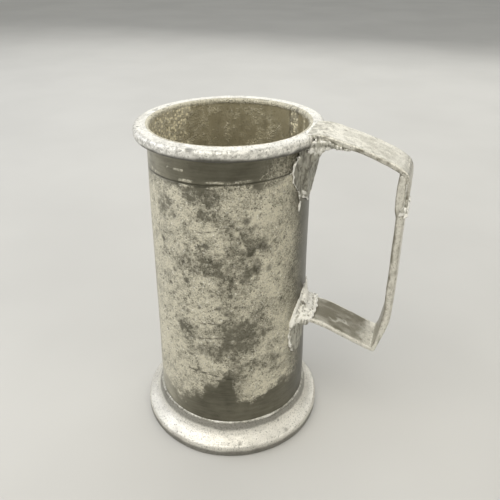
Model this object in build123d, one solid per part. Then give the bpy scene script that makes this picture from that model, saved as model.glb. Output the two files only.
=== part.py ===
from build123d import *
import os
from math import cos, radians, sin

# Pewter measure of one litre: a drum on a flared foot, with a thick lip and a mended bar handle.
# Millimetres. +Z up along the drum, +X towards the handle, origin at the centre of the standing ring.

# Vessel: a true cylinder inside, slightly conical outside.
bore_radius = 43.0
bore_depth = 172.0
wall_at_lip = 1.8
wall_at_foot = 4.2
mouth_round = 1.5
scribed_line_drop = 17.0
scribed_line_width = 0.9
scribed_line_depth = 0.45

# Lip
lip_reach = 6.4
lip_height = 6.4
lip_upper_round = 2.0
lip_lower_round = 2.6

# Foot and floor
foot_height = 18.9
foot_ledge = 1.3
foot_spread = 10.0
foot_crest_height = 6.6
foot_cove_depth = 2.2
foot_edge_round = 1.6
standing_ring_width = 3.4
foot_hollow_depth = 10.9
foot_hollow_crown = 2.6
foot_shoulder = 3.4
socket_depth = 5.0
seam_bead = 1.0
floor_thickness = 3.0
floor_rise = 2.1
floor_seat = 1.2
floor_fillet = 2.0
seam_hollow_share = 0.25

# Handle: an upper strap that laps the outside of a grip bar, both bent from flat bar.
strap_width = 25.0
strap_edge_round = 0.7
arm_thickness = 2.8
grip_thickness = 4.6
lean_thickness = 3.6
finger_room = 45.8
upper_bend_reach = 31.2
upper_bend_drop = 4.5
arm_lift = 0.8
arm_bow_radius = 40.0
shoulder_drop = 14.5
shoulder_round = 5.0
lap_length = 22.0
lap_thickness = 1.8
grip_length = 110.8
grip_belly = 0.8
knee_rise = 26.5
knee_round = 20.0
lower_corner_inset = 5.7
lower_corner_round = 1.2
lower_arm_rise = 16.6

# Solder on the upper joint, under the arm and down the drum
gusset_reach = 15.5
gusset_drop = 32.0
gusset_thickness = 5.6
gusset_hollow_radius = 7.5
gusset_tip_width = 9.0
gusset_shoulder_drop = 10.0

# Solder on the lower joint, round the arm's root
solder_side = 2.0
solder_edge = 0.7
collar_reach = 7.8
collar_rise = 7.5
collar_drop = 10.0
collar_hollow = 1.5
collar_tip_width = 4.0
collar_foot_width = 10.0
spike_height = 11.5
spike_radius = 1.5
spike_offset = -1.5
run_length = 22.0
run_width = 9.5
run_thickness = 2.4
run_offset = 12.0

# Solder on the grip where the upper strap's leg ends
lap_bead_radius = 1.2
lap_lump_radius = 2.2
lap_lump_rise = 1.6
lap_lump_inset = 1.1

# Sizes that follow from the ones above
drum_lip_radius = bore_radius + wall_at_lip
drum_foot_radius = bore_radius + wall_at_foot
lip_radius = drum_lip_radius + lip_reach
foot_radius = drum_foot_radius + foot_spread
floor_top = foot_height + floor_rise
floor_radius = bore_radius + floor_seat
brim = floor_top + bore_depth
lip_top = brim + mouth_round
lip_underside = lip_top - lip_height
drum_end = foot_height - socket_depth
grip_inner = drum_foot_radius + finger_room
grip_outer = grip_inner + grip_thickness
shoulder_height = lip_top - shoulder_drop
lap_end = shoulder_height - lap_length
lower_corner_height = shoulder_height - grip_length
lower_corner_reach = grip_outer - lower_corner_inset
lower_arm_root_height = lower_corner_height + lower_arm_rise
lower_arm_slope = (lower_arm_rise - arm_thickness) / (lower_corner_reach - drum_lip_radius)
upper_arm_slope = (arm_lift + upper_bend_drop) / (upper_bend_reach - lip_reach / 2)
solder_width = strap_width + 2 * solder_side

# What is shaped to fit the drum starts inside it, and is cut back to its wall.
hidden_reach = bore_radius / 2
hidden_radius = bore_radius + wall_at_lip / 2


def drum_radius_at(height):
    """Outside radius of the drum's cone between the foot and the lip."""
    share = (height - foot_height) / (lip_underside - foot_height)
    return drum_foot_radius + (drum_lip_radius - drum_foot_radius) * share


def bowed(start, end, bow):
    """Arc from start to end that bows to the left of its direction, or to the right if bow is negative."""
    along = (end - start).normalized()
    middle = (start + end) * 0.5 + Vector(-along.Y, along.X) * bow
    return ThreePointArc(start, middle, end)


def rounded(face, rounds):
    """Fillet the corners of a flat face that lie at the given places, each with its own radius."""
    for place, radius in rounds:
        corner = face.vertices().sort_by_distance(place)[0]
        face = fillet(corner, radius)
    return face


def turned(face):
    """Solid of revolution about the drum's axis from a face drawn in radius and height."""
    return revolve(Plane.XZ * face, Axis.Z)


def side_on(face, width):
    """Slab of the given width, centred on the handle's plane, from a face drawn in reach and height."""
    return extrude(Plane.XZ * face, width / 2, both=True)


def front_on(face):
    """Slab that reaches from the axis to the grip, from a face drawn across the handle."""
    return extrude(Plane.YZ * face, grip_outer)


def fitted_to(drum, solid):
    """The solid with all that lies in the drum or its wall cut away."""
    core = Cylinder(hidden_radius, lip_top, align=(Align.CENTER, Align.CENTER, Align.MIN))
    return solid - core - drum


def inner_line(outer, thicknesses):
    """Inner line of a bent bar, from its outer line and the thickness of each straight between bends."""
    starts = []
    for start, end, thickness in zip(outer, outer[1:], thicknesses):
        along = (end - start).normalized()
        starts.append((start + Vector(along.Y, -along.X) * thickness, along))
    points = [starts[0][0]]
    for (first, along), (second, next_along) in zip(starts, starts[1:]):
        gap = second - first
        turn = along.X * next_along.Y - along.Y * next_along.X
        points.append(first + along * ((gap.X * next_along.Y - gap.Y * next_along.X) / turn))
    last_along = starts[-1][1]
    points.append(outer[-1] + Vector(last_along.Y, -last_along.X) * thicknesses[-1])
    return points


def strap(face):
    """Bar of the strap's width, with its long edges softened."""
    bar = side_on(face, strap_width)
    return fillet(bar.faces().filter_by(Axis.Y).edges(), strap_edge_round)


def make_drum():
    """Wall of the measure, with a seat for the floor and the line scribed under the lip."""
    mouth = Vector(bore_radius + mouth_round, lip_top)
    mouth_middle = Vector(mouth.X - mouth_round * cos(radians(45)), brim + mouth_round * sin(radians(45)))
    outline = ThreePointArc((bore_radius, brim), mouth_middle, mouth) + Polyline(
        mouth,
        (drum_lip_radius, lip_top),
        (drum_lip_radius, lip_underside),
        (drum_foot_radius, foot_height),
        (drum_foot_radius, drum_end),
        (floor_radius, drum_end),
        (floor_radius, floor_top),
        (bore_radius, floor_top),
        (bore_radius, brim),
    )
    line_height = brim - scribed_line_drop
    line_radius = drum_radius_at(line_height)
    scribed = Polyline(
        (line_radius + scribed_line_depth, line_height + scribed_line_width),
        (line_radius - scribed_line_depth, line_height),
        (line_radius + scribed_line_depth, line_height - scribed_line_width),
        close=True,
    )
    return turned(make_face(outline)) - turned(make_face(scribed))


def make_rim_ring():
    """Thick lip round the top of the drum."""
    outline = Polyline(
        (drum_lip_radius, lip_underside),
        (lip_radius, lip_underside),
        (lip_radius, lip_top),
        (drum_lip_radius, lip_top),
        close=True,
    )
    rounds = [
        ((lip_radius, lip_underside), lip_lower_round),
        ((lip_radius, lip_top), lip_upper_round),
    ]
    return turned(rounded(make_face(outline), rounds))


def make_floor_disc():
    """Flat bottom of the measure, let in from below against the drum's seat."""
    disc = Cylinder(floor_radius, floor_thickness, align=(Align.CENTER, Align.CENTER, Align.MAX))
    return Pos(0, 0, floor_top) * disc


def make_foot_ring():
    """Flared foot, hollow underneath, with a socket that takes the drum's lower end."""
    top = Vector(drum_foot_radius + foot_ledge, foot_height)
    crest = Vector(foot_radius, foot_crest_height)
    edge = Vector(foot_radius, 0)
    standing_inner = Vector(foot_radius - foot_edge_round - standing_ring_width, 0)
    hollow_top = Vector(drum_foot_radius - foot_shoulder, foot_hollow_depth)
    outline = (
        bowed(top, crest, -foot_cove_depth)
        + Polyline(crest, edge, standing_inner)
        + bowed(standing_inner, hollow_top, -foot_hollow_crown)
        + Polyline(
            hollow_top,
            (hollow_top.X, drum_end),
            (drum_foot_radius, drum_end),
            (drum_foot_radius, foot_height),
            top,
        )
    )
    rounds = [(crest, foot_edge_round), (edge, foot_edge_round)]
    return turned(rounded(make_face(outline), rounds))


def make_foot_seam_solder():
    """Narrow bead in the corner between the foot's ledge and the drum."""
    corner = Vector(drum_foot_radius, foot_height)
    outer = Vector(drum_foot_radius + seam_bead, foot_height)
    upper = Vector(drum_radius_at(foot_height + seam_bead), foot_height + seam_bead)
    outline = Polyline(upper, corner, outer) + bowed(outer, upper, -seam_bead * seam_hollow_share)
    return turned(make_face(outline))


def make_floor_seam_solder():
    """Hollow fillet that seals the floor disc from below."""
    underside = floor_top - floor_thickness
    corner = Vector(floor_radius, underside)
    inner = Vector(floor_radius - floor_fillet, underside)
    lower = Vector(floor_radius, underside - floor_fillet)
    outline = Polyline(lower, corner, inner) + bowed(inner, lower, floor_fillet * seam_hollow_share)
    return turned(make_face(outline))


def make_upper_strap(rim_ring):
    """Upper arm, seated on the lip and bowed upwards, and the leg that it turns down into."""
    bend = Vector(drum_lip_radius + upper_bend_reach, lip_top - upper_bend_drop)
    shoulder = Vector(grip_outer, shoulder_height)
    outer = [
        Vector(drum_lip_radius + lip_reach / 2, lip_top + arm_lift),
        bend,
        shoulder,
        Vector(grip_outer, lap_end),
    ]
    inner = inner_line(outer, [arm_thickness, arm_thickness, lap_thickness])
    face = make_face(Polyline(*outer, *reversed(inner), close=True))
    rounds = [
        (bend, arm_bow_radius + arm_thickness),
        (inner[1], arm_bow_radius),
        (shoulder, shoulder_round),
    ]
    return strap(rounded(face, rounds)) - rim_ring


def make_grip_strap(upper_strap, drum):
    """Grip, rebated where the upper strap laps it, and the lower arm back to the drum."""
    knee = Vector(grip_outer + grip_belly, lower_corner_height + knee_rise)
    corner = Vector(lower_corner_reach, lower_corner_height)
    root_rise = lower_arm_slope * (lower_corner_reach - hidden_reach)
    outer = [
        Vector(grip_outer, shoulder_height),
        Vector(grip_outer, lap_end),
        knee,
        corner,
        Vector(hidden_reach, lower_corner_height + root_rise),
    ]
    inner = inner_line(outer, [grip_thickness, grip_thickness, lean_thickness, arm_thickness])
    rebate = grip_outer - lap_thickness
    outline = [Vector(rebate, shoulder_height), Vector(rebate, lap_end)] + outer[1:] + inner[::-1]
    face = make_face(Polyline(*outline, close=True))
    rounds = [
        (knee, knee_round + grip_thickness),
        (inner[2], knee_round),
        (corner, lower_corner_round),
    ]
    return fitted_to(drum, strap(rounded(face, rounds)) - upper_strap)


def make_rim_joint_solder(drum, rim_ring, upper_strap):
    """Gusset of solder between the drum, the lip's underside and the upper arm."""
    end = drum_lip_radius + gusset_reach
    arm_drop = upper_arm_slope * (gusset_reach - lip_reach / 2)
    end_height = lip_top + arm_lift - arm_drop - arm_thickness - solder_edge
    root_height = end_height + upper_arm_slope * (gusset_reach - gusset_thickness)
    tip_height = lip_underside - gusset_drop
    hollow = Vector(drum_lip_radius + gusset_thickness, root_height)
    side = Polyline(
        (hidden_reach, tip_height),
        (drum_radius_at(tip_height) + solder_edge, tip_height),
        hollow,
        (end, end_height),
        (end, end_height + arm_thickness / 2 + solder_edge),
        (hidden_reach, lip_underside + lip_height / 2),
        close=True,
    )
    side_face = rounded(make_face(side), [(hollow, gusset_hollow_radius)])
    front = Polyline(
        (-gusset_tip_width / 2, tip_height),
        (gusset_tip_width / 2, tip_height),
        (solder_width / 2, lip_underside - gusset_shoulder_drop),
        (solder_width / 2, lip_top),
        (-solder_width / 2, lip_top),
        (-solder_width / 2, lip_underside - gusset_shoulder_drop),
        close=True,
    )
    gusset = side_on(side_face, solder_width) & front_on(make_face(front))
    return fitted_to(drum, gusset - rim_ring - upper_strap)


def make_body_joint_solder(drum, grip_strap):
    """Collar of solder round the lower arm's root, with a spike above it and a run down the drum."""
    root_top = lower_arm_root_height
    root_middle = root_top - arm_thickness / 2 - lower_arm_slope * collar_reach
    end = drum_lip_radius + collar_reach
    cuff = arm_thickness / 2 + solder_edge
    tip_height = root_top + collar_rise
    foot_of_collar = root_top - arm_thickness - collar_drop
    tip = Vector(drum_radius_at(tip_height) + solder_edge, tip_height)
    tail = Vector(drum_radius_at(foot_of_collar) + solder_edge, foot_of_collar)
    upper_cuff = Vector(end, root_middle + cuff)
    lower_cuff = Vector(end, root_middle - cuff)
    side = (
        Polyline((hidden_reach, foot_of_collar), (hidden_reach, tip_height), tip)
        + bowed(tip, upper_cuff, -collar_hollow)
        + Line(upper_cuff, lower_cuff)
        + bowed(lower_cuff, tail, -collar_hollow)
        + Line(tail, (hidden_reach, foot_of_collar))
    )
    front = Polyline(
        (-collar_foot_width / 2, foot_of_collar),
        (collar_foot_width / 2, foot_of_collar),
        (solder_width / 2, root_middle - cuff),
        (solder_width / 2, root_middle + cuff),
        (collar_tip_width / 2, tip_height),
        (-collar_tip_width / 2, tip_height),
        (-solder_width / 2, root_middle + cuff),
        (-solder_width / 2, root_middle - cuff),
        close=True,
    )
    collar = side_on(make_face(side), solder_width) & front_on(make_face(front))
    run_middle = root_middle - run_length / 2 + run_width / 2
    stadium = Pos(-run_offset, run_middle) * SlotOverall(run_length, run_width, rotation=90)
    skin = Cylinder(drum_radius_at(run_middle) + run_thickness, run_length)
    run = front_on(stadium) & Pos(0, 0, run_middle) * skin
    spike_base = tip_height - spike_radius
    spike = Cone(spike_radius, 0, spike_height, align=(Align.CENTER, Align.CENTER, Align.MIN))
    spike_reach = drum_radius_at(tip_height) + solder_edge / 2
    solder = collar + run + Pos(spike_reach, spike_offset, spike_base) * spike
    return fitted_to(drum, solder - grip_strap)


def make_grip_lap_solder(upper_strap, grip_strap):
    """Bead across the end of the upper strap's leg, with a lump at each edge of the grip."""
    bead = Rot(90, 0, 0) * Cylinder(lap_bead_radius, strap_width)
    solder = Pos(grip_outer, 0, lap_end) * bead
    seam = grip_outer - lap_thickness
    for side in (-1, 1):
        lump_side = side * (strap_width / 2 - lap_lump_inset)
        solder += Pos(seam, lump_side, lap_end + lap_lump_rise) * Sphere(lap_lump_radius)
    return solder - upper_strap - grip_strap


def build_parts():
    """Every piece of the measure under its node name."""
    parts = {"drum": make_drum(), "rim_ring": make_rim_ring()}
    parts["floor_disc"] = make_floor_disc()
    parts["foot_ring"] = make_foot_ring()
    parts["foot_seam_solder"] = make_foot_seam_solder()
    parts["floor_seam_solder"] = make_floor_seam_solder()
    upper_strap = make_upper_strap(parts["rim_ring"])
    grip_strap = make_grip_strap(upper_strap, parts["drum"])
    parts["handle_upper_strap"] = upper_strap
    parts["handle_grip_strap"] = grip_strap
    parts["rim_joint_solder"] = make_rim_joint_solder(parts["drum"], parts["rim_ring"], upper_strap)
    parts["body_joint_solder"] = make_body_joint_solder(parts["drum"], grip_strap)
    parts["grip_lap_solder"] = make_grip_lap_solder(upper_strap, grip_strap)
    return parts


os.makedirs("parts", exist_ok=True)
for node, solid in build_parts().items():
    export_step(solid, f"parts/{node}.step")
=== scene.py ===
from functools import partial, reduce
from math import cos, hypot, pi, radians, sin

import bmesh
import bpy
import numpy as np
from bpy.props import FloatProperty, FloatVectorProperty, PointerProperty
from mathutils import Matrix, Vector


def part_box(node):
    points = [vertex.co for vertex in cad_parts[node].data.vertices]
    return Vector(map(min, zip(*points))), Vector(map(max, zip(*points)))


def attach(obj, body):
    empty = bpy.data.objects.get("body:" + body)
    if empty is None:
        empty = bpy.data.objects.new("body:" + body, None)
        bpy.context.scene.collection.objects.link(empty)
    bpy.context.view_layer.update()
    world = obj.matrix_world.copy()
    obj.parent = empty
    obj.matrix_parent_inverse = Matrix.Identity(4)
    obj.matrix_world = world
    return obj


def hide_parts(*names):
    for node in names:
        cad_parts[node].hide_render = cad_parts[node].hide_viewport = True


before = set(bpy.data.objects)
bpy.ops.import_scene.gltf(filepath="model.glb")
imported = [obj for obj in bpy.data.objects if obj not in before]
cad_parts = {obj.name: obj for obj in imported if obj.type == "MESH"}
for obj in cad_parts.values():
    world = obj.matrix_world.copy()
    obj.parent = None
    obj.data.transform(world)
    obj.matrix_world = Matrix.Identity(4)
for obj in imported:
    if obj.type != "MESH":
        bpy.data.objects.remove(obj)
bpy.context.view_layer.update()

bl_info = {
    "name": "Pewter measure",
    "version": (1, 0, 0),
    "blender": (4, 5, 0),
    "location": "View3D > Sidebar > Measure",
    "description": "Builds the surfaces of a cast pewter litre measure with a soldered bar handle",
    "category": "Object",
}

MM = 0.001

# Sizes that the surfaces share with the solids, in millimetres.
BORE_RADIUS = 43.0
MOUTH_ROUND = 1.5
LIP_SEAT_RADIUS = 44.8
LIP_BOTTOM = 188.1
LIP_LOWER_ROUND = 2.6
LIP_UPPER_ROUND = 2.0
FOOT_TOP = 18.9
SOCKET_RADIUS = 47.2
SOCKET_FLOOR = 13.9
SHOULDER_RADIUS = 43.8
# Heights between which the look of the drum's inside gives way to the lip's.
MOUTH_FADE = (191.2, 192.8)


# Sizes and colours


def linear(hex_colour):
    """Linear red, green and blue of an sRGB hex colour."""
    channels = [int(hex_colour[k : k + 2], 16) / 255 for k in (1, 3, 5)]
    return tuple(c / 12.92 if c <= 0.04045 else ((c + 0.055) / 1.055) ** 2.4 for c in channels)


def length(name, description, millimetres):
    """A length that a user may change, stored in metres."""
    default = millimetres * MM
    return FloatProperty(name=name, description=description, default=default, unit="LENGTH", precision=5)


def colour(name, description, hex_colour):
    """A colour that a user may change, stored linear."""
    return FloatVectorProperty(
        name=name, description=description, default=linear(hex_colour), size=3, min=0, max=1, subtype="COLOR"
    )


class MeasureSizes(bpy.types.PropertyGroup):
    """Sizes of the surface work that the solids don't carry."""

    wall_step: length("Wall step", "Distance between neighbouring points on the drum", 0.75)
    fine_step: length("Fine step", "Distance between neighbouring points on lip, foot and handle", 0.6)
    solder_step: length("Solder step", "Size of the cells that the solder is made of", 0.42)
    out_of_round: FloatProperty(
        name="Out of round",
        description="How far the mouth departs from a circle",
        default=0.0235,
        subtype="FACTOR",
    )
    wall_wave: length("Wall wave", "Height of the slow waves in the cast wall", 0.22)
    pit_depth: length("Pit depth", "Depth of the corrosion pits in the wall", 0.28)
    etch_depth: length("Etch depth", "How far the etched skin lies below the smooth metal", 0.09)
    line_depth: length("Line depth", "Depth of the scribed line under the lip", 0.5)
    knock_depth: length("Knock depth", "Depth of the knocks in lip and foot", 0.45)
    bar_wave: length("Bar wave", "Height of the hammered waves in the handle", 0.2)
    crust_height: length("Crust height", "Height of the crusts on the solder", 0.6)


class MeasureColours(bpy.types.PropertyGroup):
    """Colours of the metal in its different states, and of the stage."""

    smooth_wall: colour("Smooth wall", "Old turned skin of the drum", "#7d7a6c")
    etched_wall: colour("Etched wall", "Rough skin where corrosion has eaten the drum", "#d9d4c1")
    # This dark also paints the shade on the drum, lip and foot: painted shade as well as oxide.
    wall_dirt_and_shade: colour("Wall dirt", "Dark oxide in the pits of the drum", "#3f3d33")
    inside_wall: colour("Inside wall", "Tarnished inside of the drum", "#b4ac92")
    worn_lip: colour("Worn lip", "Lip rubbed bright by use", "#faf8f1")
    foot_flare: colour("Foot flare", "Foot rubbed bright on its flare", "#eeebe2")
    bar: colour("Bar", "Handled metal of the strap and grip", "#e1ded3")
    # This brown also paints the shade on the handle: painted shade as well as tarnish.
    bar_dirt_and_shade: colour("Bar dirt", "Brown tarnish on the handle", "#757060")
    # The lime colour also paints glints on the pale specks inside.
    lime_and_glints: colour("Lime", "Pale yellow scale and crystals inside", "#efe6c6")
    solder: colour("Solder", "Bright tin solder", "#fbf9f2")
    solder_dirt: colour("Solder dirt", "Flux and dirt between the crusts", "#86837a")
    smeared_solder: colour("Smeared solder", "Thin grey smear between the runs", "#bfbdb2")
    floor: colour("Floor", "Matt pale board that the measure stands on", "#c9c8c5")


def settings():
    """The sizes and the colours that the operators work with."""
    return bpy.context.scene.measure_sizes, bpy.context.scene.measure_colours


# Noise and masks on points given as rows of x, y and z in metres

# Odd factors and shifts that scatter the bits of a cell's three numbers.
CELL_FACTORS = (0x8DA6B343, 0xD8163841, 0xCB1AB31F)
SCATTER_STEPS = ((15, 0x2C1B3C6D), (12, 0x297A2D39), (15, 1))


def lattice(cell, seed):
    """A fixed value from 0 to 1 for each whole-number cell."""
    mixed = reduce(np.bitwise_xor, (c * np.uint32(factor) for c, factor in zip(cell, CELL_FACTORS)))
    mixed = mixed + np.uint32(seed * 7919 + 17)
    for shift, factor in SCATTER_STEPS:
        mixed = (mixed ^ (mixed >> np.uint32(shift))) * np.uint32(factor)
    return mixed.astype(np.float32) / np.float32(2**32 - 1)


def cells_of(points, spacing):
    """Whole-number cell of each point, and its place inside the cell from 0 to 1."""
    scaled = points / spacing
    low = np.floor(scaled)
    cells = low.astype(np.int64).astype(np.uint32)
    return [cells[:, k] for k in range(3)], (scaled - low).astype(np.float32)


def lumps(points, size_mm, seed, layers=1):
    """Soft noise from about -1 to 1 with lumps of the given size, and finer layers if asked."""
    total, weight, scale = np.zeros(len(points)), 1.0, size_mm * MM
    for layer in range(layers):
        here, share = cells_of(points, scale)
        share = share * share * (3 - 2 * share)
        level = np.zeros(len(points), dtype=np.float32)
        for corner in np.ndindex(2, 2, 2):
            near = reduce(np.multiply, (share[:, k] if c else 1 - share[:, k] for k, c in enumerate(corner)))
            level += near * lattice([h + np.uint32(c) for h, c in zip(here, corner)], seed + 31 * layer)
        total += weight * (2 * level - 1)
        weight, scale = weight / 2, scale / 2
    return total


def dimples(points, spacing_mm, radius_mm, kept, seed):
    """Round pits from 0 at the rim to 1 in the middle, one in each cell that is kept."""
    here, share = cells_of(points, spacing_mm * MM)
    deepest = np.zeros(len(points))
    for step in np.ndindex(3, 3, 3):
        cell = [h + np.uint32((s - 1) % 2**32) for h, s in zip(here, step)]
        away = sum((share[:, k] - (step[k] - 1) - lattice(cell, seed + k)) ** 2 for k in range(3))
        reach = radius_mm / spacing_mm * (0.45 + 0.55 * lattice(cell, seed + 3))
        depth = 1 - away / reach**2
        deepest = np.maximum(deepest, np.where(lattice(cell, seed + 4) < kept, depth, 0))
    return deepest


def ramp(values, low, high):
    """Smooth step from 0 at low to 1 at high."""
    share = np.clip((values - low) / (high - low), 0, 1)
    return share * share * (3 - 2 * share)


def window(values, low, full, fading, high):
    """Smooth step from 0 at low to 1 at full, and back from 1 at fading to 0 at high."""
    return ramp(values, low, full) * (1 - ramp(values, fading, high))


def most(*values):
    """The largest of several values at each point."""
    return reduce(np.maximum, values)


def around(points):
    """Azimuth from the handle in degrees, and radius and height in millimetres."""
    azimuth = np.degrees(np.arctan2(points[..., 1], points[..., 0]))
    return azimuth, np.hypot(points[..., 0], points[..., 1]) / MM, points[..., 2] / MM


# Radius at which azimuths on the wall are turned into lengths, in millimetres.
WALL_RADIUS = 46.0


def on_wall(azimuths, heights, azimuth, height_mm, wide_mm, tall_mm, ragged):
    """Blot on the wall from 1 in its middle to 0, with the edge moved by ragged."""
    across = (azimuths - azimuth + 180) % 360 - 180
    across = np.radians(across) * WALL_RADIUS / wide_mm
    up = (heights - height_mm) / tall_mm
    return 1 - ramp(np.hypot(across, up) + ragged, 0.35, 1.15)


def scratch(azimuths, heights, start, end, width_mm, grain):
    """Line across the wall between two (azimuth, height) places, 1 along its middle."""
    ends = [np.array((radians(a) * WALL_RADIUS, z)) for a, z in (start, end)]
    here = np.stack([np.radians(azimuths) * WALL_RADIUS, heights + 0.5 * grain], axis=-1)
    along = ends[1] - ends[0]
    share = np.clip(((here - ends[0]) @ along) / (along @ along), 0, 1)
    away = np.linalg.norm(here - ends[0] - share[..., None] * along, axis=-1)
    return np.clip(1 - away / (width_mm * (0.7 + 0.3 * grain)), 0, 1)


# Azimuth in degrees at which the mouth is widest.
OUT_OF_ROUND_AT = 69.7


def settled(points):
    """The points moved with the vessel, whose mouth is a little out of round."""
    sizes, _ = settings()
    azimuth, radius, height = around(points)
    rise = ramp(height, 20, 185)
    near = 1 - ramp(radius, 54, 72)
    stretch = sizes.out_of_round * np.cos(np.radians(2 * (azimuth - OUT_OF_ROUND_AT))) * rise * near
    moved = points.copy()
    moved[..., :2] *= (1 + stretch)[..., None]
    return moved


# Meshes


def keep_values(mesh, values):
    """Keep a value for each point of the mesh under each attribute name."""
    for key, value in values.items():
        layer = mesh.attributes.new(key, "FLOAT", "POINT")
        layer.data.foreach_set("value", np.asarray(value, dtype=np.float32).ravel())


def smoothed(mesh):
    """The mesh with all its faces shaded smooth."""
    mesh.polygons.foreach_set("use_smooth", np.ones(len(mesh.polygons), dtype=bool))
    return mesh


def shown(name, points, faces):
    """New smooth object from points and faces."""
    mesh = bpy.data.meshes.new(name)
    mesh.from_pydata(points.tolist(), [], faces)
    mesh.validate()
    obj = bpy.data.objects.new(name, smoothed(mesh))
    bpy.context.collection.objects.link(obj)
    return obj


def crease(mesh, ring_of):
    """Make sharp every edge whose two points lie on the same numbered ring (-1 is no ring)."""
    ends = np.empty(2 * len(mesh.edges), dtype=np.int32)
    mesh.edges.foreach_get("vertices", ends)
    rings = ring_of[ends.reshape(-1, 2)]
    sharp = mesh.attributes.new("sharp_edge", "BOOLEAN", "EDGE")
    sharp.data.foreach_set("value", (rings[:, 0] == rings[:, 1]) & (rings[:, 0] >= 0))


def quads(grid):
    """Faces between the rows of a grid of point numbers, each row closed."""
    after = np.roll(grid, -1, axis=1)
    return np.stack([grid[:-1], after[:-1], after[1:], grid[1:]], axis=-1).reshape(-1, 4).tolist()


def divided(corners, step):
    """Closed line through the corners in short steps, and which of its points are sharp corners."""
    points, sharp = [], []
    count = len(corners)
    for k in range(count):
        before, here, after = (np.array(corners[(k + d) % count], dtype=float) for d in (-1, 0, 1))
        turn_in, turn_out = here - before, after - here
        cosine = turn_in @ turn_out / (np.linalg.norm(turn_in) * np.linalg.norm(turn_out))
        pieces = max(1, round(np.linalg.norm(turn_out) / step))
        points += [here + turn_out * i / pieces for i in range(pieces)]
        sharp += [cosine < 0.8] + [False] * (pieces - 1)
    return np.array(points), np.array(sharp)


def arc(centre, radius, start, end, steps=6):
    """Points on an arc between two angles in degrees."""
    angles = [radians(start + (end - start) * k / steps) for k in range(steps + 1)]
    return [(centre[0] + radius * cos(a), centre[1] + radius * sin(a)) for a in angles]


def turned(name, corners, step, relief):
    """Ring from a closed profile of (radius, height) in millimetres, with its surface moved by relief.

    The profile runs up the outside and down the inside. relief takes the points, and gives
    the move along the normal in metres and the values to keep on the points."""
    line, sharp = divided(np.array(corners) * MM, step)
    columns = round(2 * pi * line[:, 0].max() / step)
    tangent = np.roll(line, -1, axis=0) - np.roll(line, 1, axis=0)
    normal = np.stack([tangent[:, 1], -tangent[:, 0]], axis=1)
    normal /= np.linalg.norm(normal, axis=1)[:, None]
    angles = np.arange(columns) * 2 * pi / columns
    spin = np.stack([np.cos(angles), np.sin(angles)], axis=1)
    still = np.empty((len(line), columns, 3))
    still[..., :2] = line[:, None, :1] * spin
    still[..., 2] = line[:, 1:]
    away = np.empty_like(still)
    away[..., :2] = normal[:, None, :1] * spin
    away[..., 2] = normal[:, 1:]
    flat, away = still.reshape(-1, 3), away.reshape(-1, 3)
    shift, values = relief(flat, away)
    points = settled(flat + away * shift[:, None])
    points[:, 2] = np.maximum(points[:, 2], line[:, 1].min())
    grid = np.arange(len(line) * columns).reshape(len(line), columns)
    obj = shown(name, points, quads(np.vstack([grid, grid[:1]])))
    keep_values(obj.data, values)
    crease(obj.data, np.repeat(np.where(sharp, np.arange(len(line)), -1), columns))
    return obj


def through(places, count):
    """Smooth open line through the places, cut into equal steps."""
    nodes = np.array(places, dtype=float)
    padded = np.vstack([2 * nodes[0] - nodes[1], nodes, 2 * nodes[-1] - nodes[-2]])
    fine = []
    for a, b, c, d in zip(padded, padded[1:], padded[2:], padded[3:]):
        for t in np.linspace(0, 1, 24, endpoint=False):
            slope_b, slope_c = (c - a) / 2, (d - b) / 2
            fine.append(
                (2 * t**3 - 3 * t**2 + 1) * b
                + (t**3 - 2 * t**2 + t) * slope_b
                + (3 * t**2 - 2 * t**3) * c
                + (t**3 - t**2) * slope_c
            )
    fine = np.array(fine + [nodes[-1]])
    travelled = np.concatenate([[0], np.cumsum(np.linalg.norm(np.diff(fine[:, :2], axis=0), axis=1))])
    marks = np.linspace(0, travelled[-1], count)
    return np.stack([np.interp(marks, travelled, fine[:, k]) for k in range(nodes.shape[1])], axis=1)


def bar_section(half, half_width, edge):
    """Outline of a bar's section with rounded edges, as (across, up) places."""
    section = []
    for side, up, start in ((1, 1, 0), (-1, 1, 90), (-1, -1, 180), (1, -1, 270)):
        wide, tall = half_width - edge, half - edge
        section += arc((side * wide, up * tall), edge, start, start + 90)
        if side == up:
            section += [(across, up * half) for across in np.linspace(side * wide, -side * wide, 32)[1:-1]]
        else:
            section += [(side * half_width, rise) for rise in np.linspace(up * tall, -up * tall, 4)[1:-1]]
    return np.array(section)


def bar(name, stations, step, relief):
    """Bent flat bar through stations given in millimetres.

    A station is outer reach and height, inner reach and height, half width and edge round."""
    stations = np.array(stations, dtype=float)
    span = np.linalg.norm(np.diff(stations[:, :2], axis=0), axis=1).sum()
    sections = []
    for station in through(stations, round(span * MM / step)):
        outer, inner, (half_width, edge) = station[:2], station[2:4], station[4:]
        across = outer - inner
        half = np.linalg.norm(across) / 2
        section = bar_section(half, half_width, min(edge, half * 0.96))
        place = (outer + inner) / 2 + across / (2 * half) * section[:, 1:]
        sections.append(np.stack([place[:, 0], section[:, 0], place[:, 1]], axis=1))
    rings = np.array(sections) * MM
    points = np.vstack([rings.reshape(-1, 3), rings[0].mean(axis=0), rings[-1].mean(axis=0)])
    grid = np.arange(rings.shape[0] * rings.shape[1]).reshape(rings.shape[:2])
    faces = quads(grid)
    for ring, middle in ((grid[0], len(points) - 2), (grid[-1], len(points) - 1)):
        faces += [(middle, int(a), int(b)) for a, b in zip(ring, np.roll(ring, -1))]
    return moved_out(shown(name, points, faces), relief)


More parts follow.
